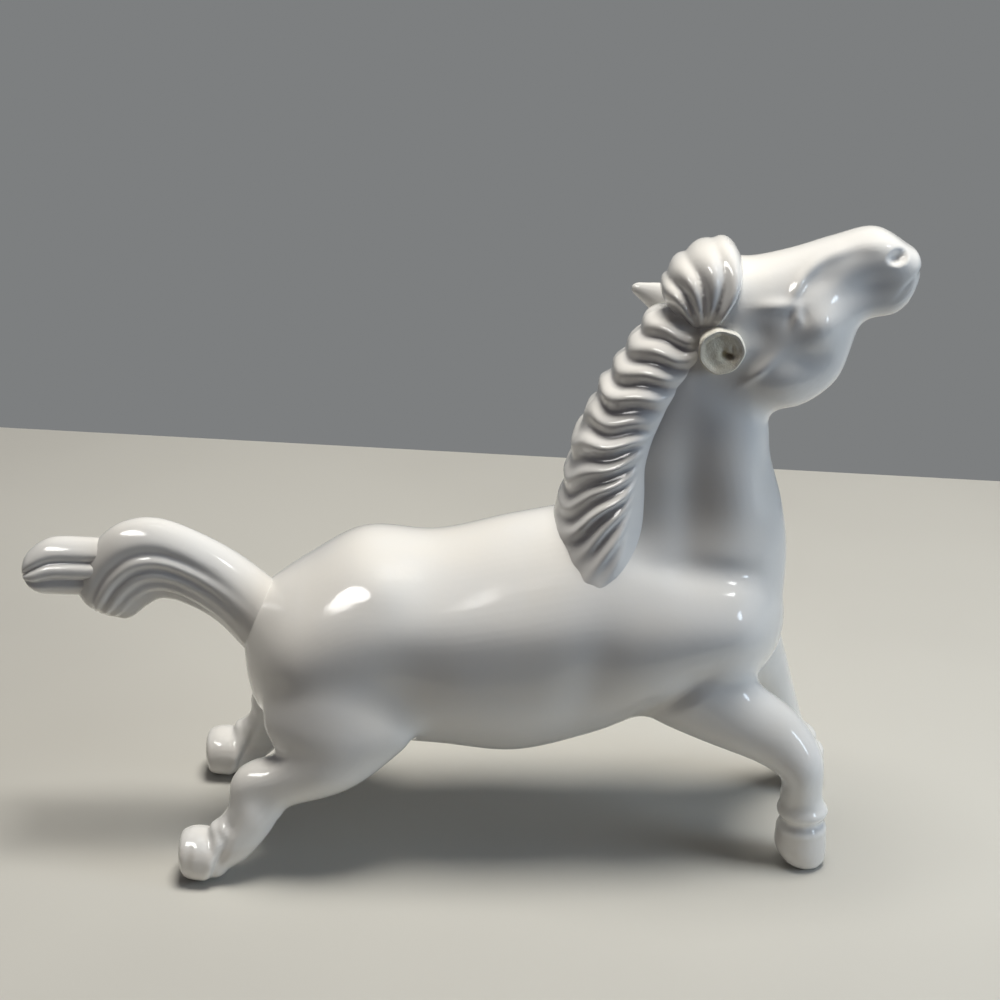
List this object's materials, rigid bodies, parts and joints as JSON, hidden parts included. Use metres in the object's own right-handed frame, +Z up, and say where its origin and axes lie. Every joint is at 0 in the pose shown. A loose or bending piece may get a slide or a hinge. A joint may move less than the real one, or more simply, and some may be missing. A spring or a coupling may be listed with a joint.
{
  "type": "horse figurine",
  "caption": "Glazed porcelain horse figurine in full gallop with head raised, wavy mane, fanned forelock and curled tail; one ear is broken to a stub. Stands on its hooves as an ornament.",
  "frame": {"origin": "middle of the length and width, at the table under the hooves", "axes": "+X from tail to head, +Y to the horse's left, +Z up"},
  "size_m": [0.1966, 0.0584, 0.145],
  "materials": {
    "glaze": "clear glossy glaze over white porcelain",
    "bisque": "bare broken porcelain, matt and cream"
  },
  "bodies": {
    "root": {"body_shell": "glaze", "neck_shell": "glaze", "head_shell": "glaze", "mane": "glaze", "forelock": "glaze", "left_ear": "glaze", "right_ear_stub": "bisque", "left_foreleg": "glaze", "right_foreleg": "glaze", "left_hind_leg": "glaze", "right_hind_leg": "glaze", "tail": "glaze", "tail_tip": "glaze"}
  },
  "joints": []
}
